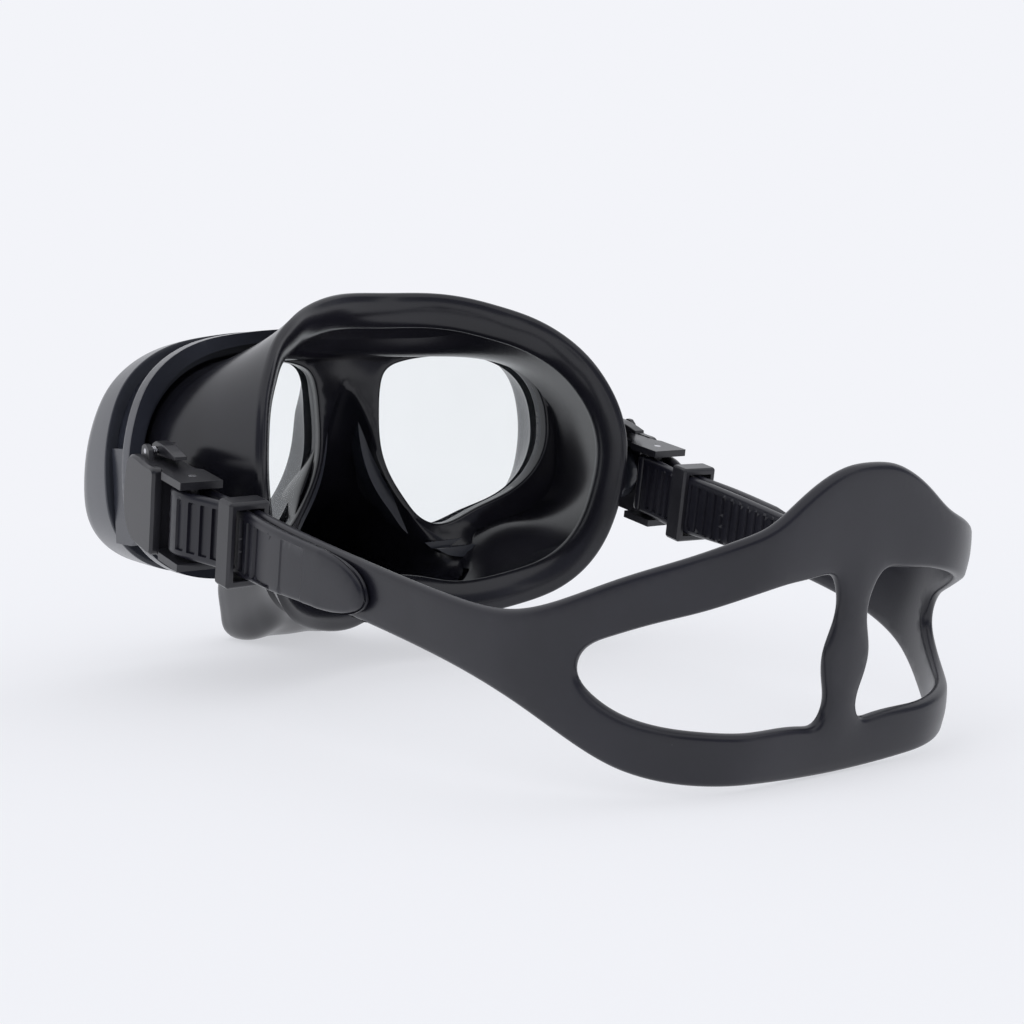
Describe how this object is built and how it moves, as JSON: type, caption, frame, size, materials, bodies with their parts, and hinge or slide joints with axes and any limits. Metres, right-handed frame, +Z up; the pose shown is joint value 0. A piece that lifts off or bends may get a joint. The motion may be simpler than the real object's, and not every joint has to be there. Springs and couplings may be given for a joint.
{
  "type": "diving mask",
  "caption": "Two-window diving mask with a moulded nose pocket, a flared silicone skirt and a split head strap in swivelling roller buckles.",
  "frame": {"origin": "Centre of the bounding box at floor level, under the mask standing on its nose pocket and lower strap band.", "axes": "+Z up; -Y is the way the lenses face and +Y runs back along the strap loop, the longest extent; +X is the wearer's left."},
  "size_m": [0.1884, 0.318, 0.1234],
  "materials": {
    "frame_plastic": "satin black polycarbonate",
    "bezel_plastic": "semi-gloss black polycarbonate",
    "lens_glass": "clear tempered glass",
    "skirt_silicone": "glossy black silicone",
    "strap_silicone": "satin black silicone",
    "buckle_plastic": "satin black acetal",
    "cover_plastic": "satin black acetal",
    "keeper_plastic": "satin black acetal",
    "roller_plastic": "satin black acetal",
    "lever_plastic": "satin black acetal",
    "pin_steel": "stainless steel",
    "spring_steel": "stainless spring wire"
  },
  "bodies": {
    "mask": {"frame": "frame_plastic", "bezel_left": "bezel_plastic", "bezel_right": "bezel_plastic", "lens_left": "lens_glass", "lens_right": "lens_glass", "skirt": "skirt_silicone", "swivel_pin_left": "pin_steel", "swivel_pin_right": "pin_steel"},
    "strap_loop": {"strap": "strap_silicone", "buckle_left": "buckle_plastic", "buckle_right": "buckle_plastic", "buckle_cover_left": "cover_plastic", "buckle_cover_right": "cover_plastic", "roller_pin_left": "pin_steel", "roller_pin_right": "pin_steel", "lever_pin_left": "pin_steel", "lever_pin_right": "pin_steel", "lever_spring_left": "spring_steel", "lever_spring_right": "spring_steel"},
    "keeper_left": {"keeper_left": "keeper_plastic"},
    "roller_left": {"roller_left": "roller_plastic"},
    "release_lever_left": {"release_lever_left": "lever_plastic"},
    "keeper_right": {"keeper_right": "keeper_plastic"},
    "roller_right": {"roller_right": "roller_plastic"},
    "release_lever_right": {"release_lever_right": "lever_plastic"}
  },
  "joints": [
    {"name": "strap_swivel", "type": "hinge", "parent": "mask", "child": "strap_loop", "pos_m": [0, -0.048, 0.061], "axis": [1, 0, 0], "range_deg": [-20, 30]},
    {"name": "keeper_slide_left", "type": "slide", "parent": "strap_loop", "child": "keeper_left", "axis": [-0.061, 0.9781, -0.199], "range_m": [-0.003, 0.014]},
    {"name": "roller_spin_left", "type": "hinge", "parent": "strap_loop", "child": "roller_left", "pos_m": [0.086, -0.0284, 0.05701], "axis": [0, 0.1994, 0.9799], "continuous": true},
    {"name": "release_lever_press_left", "type": "hinge", "parent": "strap_loop", "child": "release_lever_left", "pos_m": [0.0853, -0.04689, 0.07649], "axis": [-1, 0, 0], "range_deg": [0, 8], "stiffness_Nm_per_rad": 0.02, "springref_deg": -11.46},
    {"name": "keeper_slide_right", "type": "slide", "parent": "strap_loop", "child": "keeper_right", "axis": [0.061, 0.9781, -0.199], "range_m": [-0.003, 0.014]},
    {"name": "roller_spin_right", "type": "hinge", "parent": "strap_loop", "child": "roller_right", "pos_m": [-0.086, -0.0284, 0.05701], "axis": [0, 0.1994, 0.9799], "continuous": true},
    {"name": "release_lever_press_right", "type": "hinge", "parent": "strap_loop", "child": "release_lever_right", "pos_m": [-0.0853, -0.04689, 0.07649], "axis": [-1, 0, 0], "range_deg": [0, 8], "stiffness_Nm_per_rad": 0.02, "springref_deg": -11.46}
  ]
}
